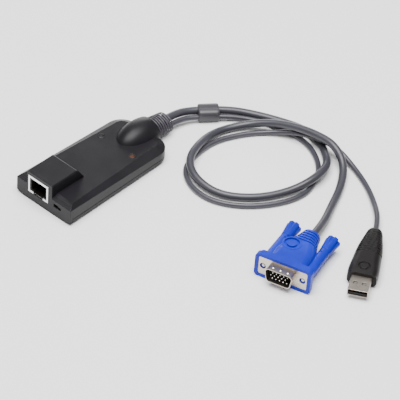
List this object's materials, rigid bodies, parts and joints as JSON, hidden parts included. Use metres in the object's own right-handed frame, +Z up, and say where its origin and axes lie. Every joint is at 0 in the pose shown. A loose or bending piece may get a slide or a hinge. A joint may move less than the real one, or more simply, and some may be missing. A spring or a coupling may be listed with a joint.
{
  "type": "kvm adapter dongle",
  "caption": "Small dark adapter case with a network jack at one end and two cords ending in a blue video plug and a flat data plug.",
  "frame": {"origin": "bottom centre of the case, cords left out", "axes": "+X from the jack end to the cord end, +Y to the left looking along +X, +Z up"},
  "size_m": [0.1639, 0.2059, 0.021],
  "materials": {
    "housing_dark": "fine moulded texture",
    "shield_bright": "bright plated sheet",
    "moulding_black": "satin moulding",
    "contact_gold": "gold plated",
    "board_green": "solder mask",
    "chip_black": "moulded epoxy",
    "crystal_can": "drawn can",
    "header_white": "natural nylon",
    "screw_steel": "plated steel",
    "switch_black": "satin moulding",
    "lens_clear": "clear light pipe",
    "lens_amber": "tinted light pipe",
    "lamp_body": "clear resin",
    "relief_grey": "soft moulding",
    "cord_slate": "smooth sheath",
    "collar_grey": "satin moulding",
    "hood_blue": "satin moulding",
    "plated_nickel": "nickel plate",
    "boot_black": "satin moulding"
  },
  "bodies": {
    "adapter": {"lower_case": "housing_dark", "upper_cover": "housing_dark", "front_panel": "housing_dark", "jack_shield": "shield_bright", "jack_insulator": "moulding_black", "jack_contacts": "contact_gold", "circuit_board": "board_green", "controller_chip": "chip_black", "video_chip": "chip_black", "clock_crystal": "crystal_can", "video_header": "header_white", "usb_header": "header_white", "video_inner_lead": "cord_slate", "usb_inner_lead": "cord_slate", "switch_body": "switch_black", "online_lens": "lens_clear", "power_lens": "lens_amber", "status_lamps": "lamp_body", "case_screws": "screw_steel", "strain_relief": "relief_grey", "video_cable": "cord_slate", "usb_cable": "cord_slate", "cable_collar": "collar_grey", "video_face_plate": "plated_nickel", "video_insulator": "moulding_black", "video_pins": "contact_gold", "video_hood": "hood_blue", "usb_shell": "plated_nickel", "usb_tongue": "moulding_black", "usb_contacts": "contact_gold", "usb_boot": "boot_black"},
    "switch_slider": {"switch_knob": "switch_black"},
    "left_thumbscrew": {"left_thumb_knob": "hood_blue", "left_thumb_screw": "screw_steel"},
    "right_thumbscrew": {"right_thumb_knob": "hood_blue", "right_thumb_screw": "screw_steel"}
  },
  "joints": [
    {"name": "switch_slide", "type": "slide", "parent": "adapter", "child": "switch_slider", "axis": [0, 1, 0], "range_m": [0, 0.002]},
    {"name": "left_thumbscrew_turn", "type": "hinge", "parent": "adapter", "child": "left_thumbscrew", "pos_m": [0.0087, -0.15215, 0.0083], "axis": [0.9636, 0.2636, -0.0436], "continuous": true},
    {"name": "right_thumbscrew_turn", "type": "hinge", "parent": "adapter", "child": "right_thumbscrew", "pos_m": [0.0021, -0.12805, 0.0083], "axis": [0.9636, 0.2636, -0.0436], "continuous": true}
  ]
}
